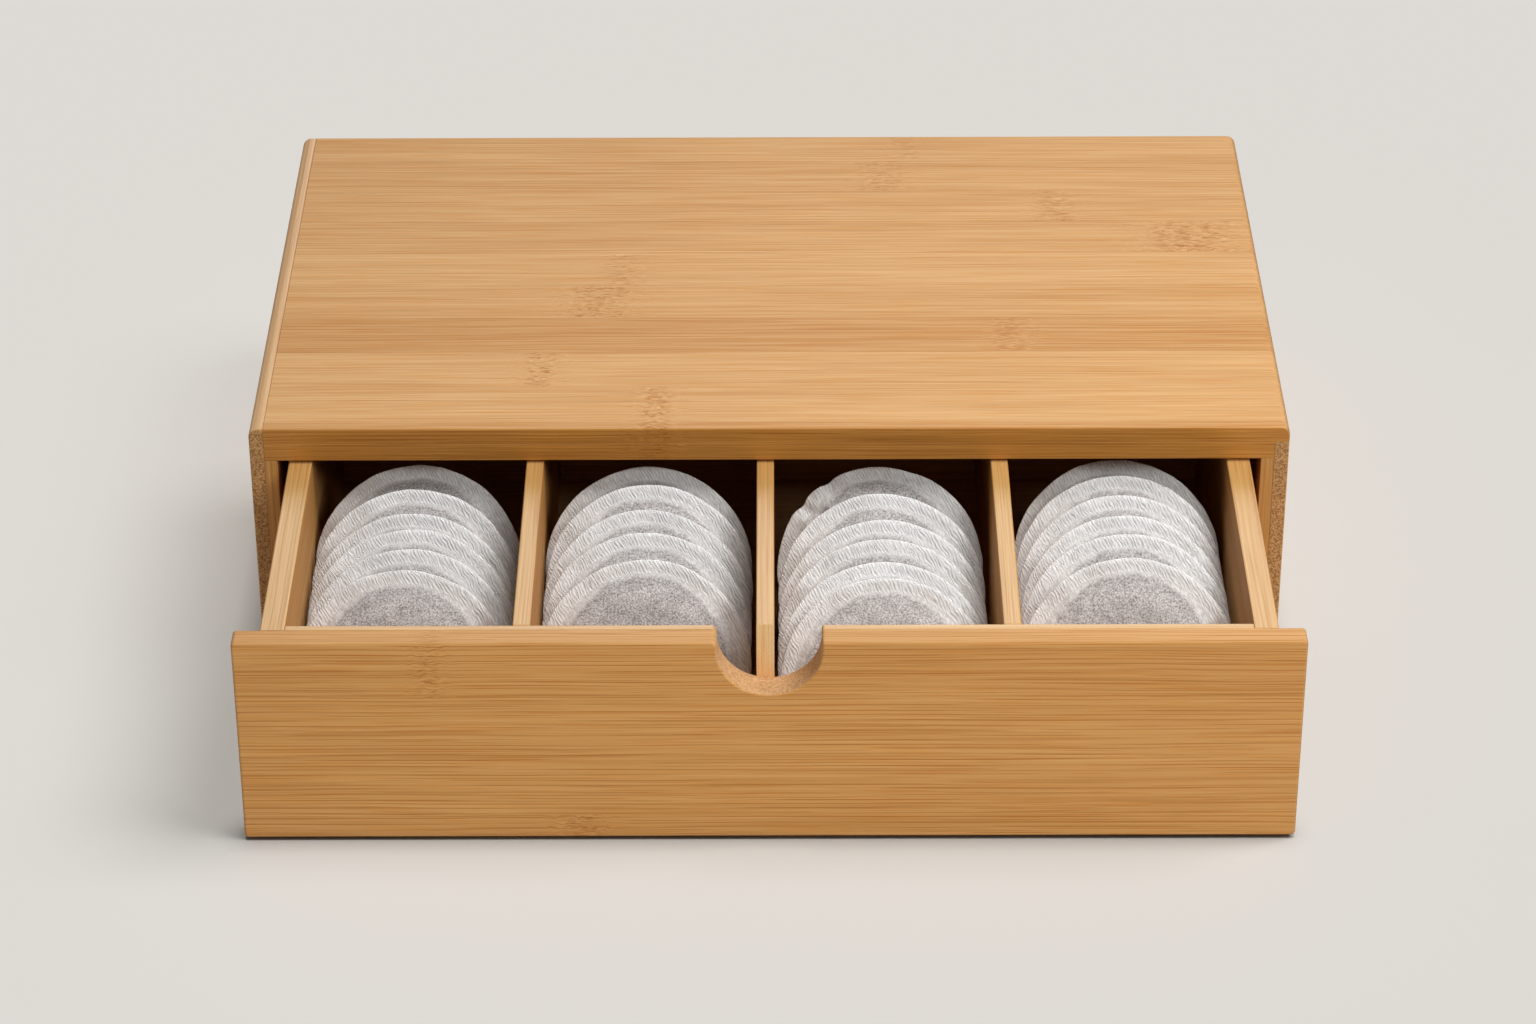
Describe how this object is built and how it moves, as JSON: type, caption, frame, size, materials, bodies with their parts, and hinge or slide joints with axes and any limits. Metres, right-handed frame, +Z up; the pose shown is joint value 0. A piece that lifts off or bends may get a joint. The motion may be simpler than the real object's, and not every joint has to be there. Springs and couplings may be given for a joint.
{
  "type": "tea storage drawer",
  "caption": "Low bamboo box with one full-width sliding drawer, divided into compartments for round tea pads, opened by a finger notch.",
  "frame": {"origin": "under the middle of the whole object as it stands with the drawer open, on the surface it stands on", "axes": "+X to the right seen from the front, +Y from the drawer front to the back, +Z up"},
  "size_m": [0.32, 0.2982, 0.082],
  "materials": {
    "bamboo_case": "satin lacquer",
    "bamboo_front": "satin lacquer",
    "bamboo_drawer": "satin lacquer",
    "foot_rubber": "matte",
    "tea_pad_paper": "matte, crimped rim"
  },
  "bodies": {
    "case": {"case_top_outer_ply": "bamboo_case", "case_top_inner_ply": "bamboo_case", "case_left_outer_ply": "bamboo_case", "case_left_inner_ply": "bamboo_case", "case_right_outer_ply": "bamboo_case", "case_right_inner_ply": "bamboo_case", "case_bottom_panel": "bamboo_case", "case_back_panel": "bamboo_case", "foot_front_left": "foot_rubber", "foot_front_right": "foot_rubber", "foot_back_left": "foot_rubber", "foot_back_right": "foot_rubber"},
    "drawer": {"drawer_front": "bamboo_front", "drawer_inner_front": "bamboo_drawer", "drawer_left_side": "bamboo_drawer", "drawer_right_side": "bamboo_drawer", "drawer_floor": "bamboo_drawer", "drawer_back": "bamboo_drawer", "divider_left": "bamboo_drawer", "divider_center": "bamboo_drawer", "divider_right": "bamboo_drawer", "tea_pad_1_1": "tea_pad_paper", "tea_pad_1_2": "tea_pad_paper", "tea_pad_1_3": "tea_pad_paper", "tea_pad_1_4": "tea_pad_paper", "tea_pad_1_5": "tea_pad_paper", "tea_pad_1_6": "tea_pad_paper", "tea_pad_2_1": "tea_pad_paper", "tea_pad_2_2": "tea_pad_paper", "tea_pad_2_3": "tea_pad_paper", "tea_pad_2_4": "tea_pad_paper", "tea_pad_2_5": "tea_pad_paper", "tea_pad_3_1": "tea_pad_paper", "tea_pad_3_2": "tea_pad_paper", "tea_pad_3_3": "tea_pad_paper", "tea_pad_3_4": "tea_pad_paper", "tea_pad_3_5": "tea_pad_paper", "tea_pad_3_6": "tea_pad_paper", "tea_pad_4_1": "tea_pad_paper", "tea_pad_4_2": "tea_pad_paper", "tea_pad_4_3": "tea_pad_paper", "tea_pad_4_4": "tea_pad_paper", "tea_pad_4_5": "tea_pad_paper", "tea_pad_4_6": "tea_pad_paper"}
  },
  "joints": [
    {"name": "drawer_slide", "type": "slide", "parent": "case", "child": "drawer", "axis": [0, -1, 0], "range_m": [-0.0937, 0.066]}
  ]
}
